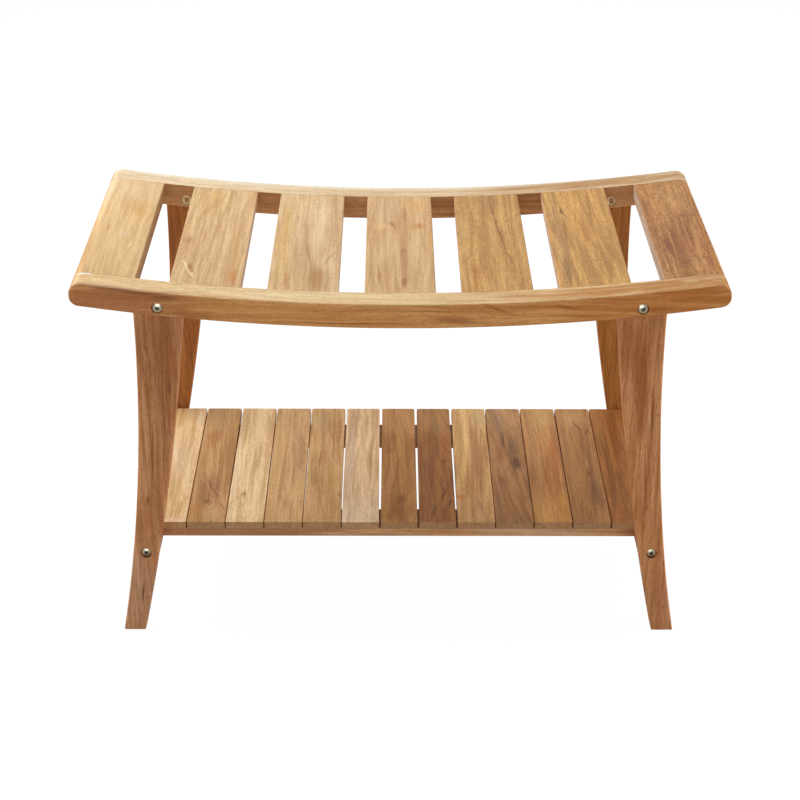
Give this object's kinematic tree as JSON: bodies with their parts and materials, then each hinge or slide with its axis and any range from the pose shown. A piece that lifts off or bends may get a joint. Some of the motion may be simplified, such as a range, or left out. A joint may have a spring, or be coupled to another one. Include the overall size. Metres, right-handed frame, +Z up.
{
  "type": "shower bench",
  "caption": "Teak shower bench: slatted saddle seat between two curved rails, splayed sabre legs and a low slatted shelf.",
  "frame": {"origin": "on the floor, in the middle of the bench's outline seen from above", "axes": "+X along the bench to the right, +Y from front to back, +Z up"},
  "size_m": [0.72, 0.34, 0.4613],
  "materials": {
    "teak_seat_rail": "smooth oiled teak, mid brown",
    "teak_seat_board": "smooth oiled teak, honey to golden tan",
    "teak_leg": "smooth oiled teak, brown",
    "teak_stretcher": "smooth oiled teak, reddish brown",
    "teak_shelf_slat": "smooth oiled teak, mixed light and dark slats",
    "steel": "plain steel, slightly warm"
  },
  "bodies": {
    "root": {"seat_rail_front": "teak_seat_rail", "seat_rail_back": "teak_seat_rail", "seat_end_board_left": "teak_seat_board", "seat_end_board_right": "teak_seat_board", "seat_slat_1": "teak_seat_board", "seat_slat_2": "teak_seat_board", "seat_slat_3": "teak_seat_board", "seat_slat_4": "teak_seat_board", "seat_slat_5": "teak_seat_board", "leg_front_left": "teak_leg", "leg_front_right": "teak_leg", "leg_back_left": "teak_leg", "leg_back_right": "teak_leg", "stretcher_left": "teak_stretcher", "stretcher_right": "teak_stretcher", "shelf_rail_front": "teak_stretcher", "shelf_rail_back": "teak_stretcher", "shelf_slat_1": "teak_shelf_slat", "shelf_slat_2": "teak_shelf_slat", "shelf_slat_3": "teak_shelf_slat", "shelf_slat_4": "teak_shelf_slat", "shelf_slat_5": "teak_shelf_slat", "shelf_slat_6": "teak_shelf_slat", "shelf_slat_7": "teak_shelf_slat", "shelf_slat_8": "teak_shelf_slat", "shelf_slat_9": "teak_shelf_slat", "shelf_slat_10": "teak_shelf_slat", "shelf_slat_11": "teak_shelf_slat", "shelf_slat_12": "teak_shelf_slat", "shelf_slat_13": "teak_shelf_slat", "seat_bolts": "steel", "sleeve_nuts": "steel", "leg_bolts": "steel", "barrel_nuts": "steel", "slat_screws": "steel", "stretcher_screws": "steel"}
  },
  "joints": []
}
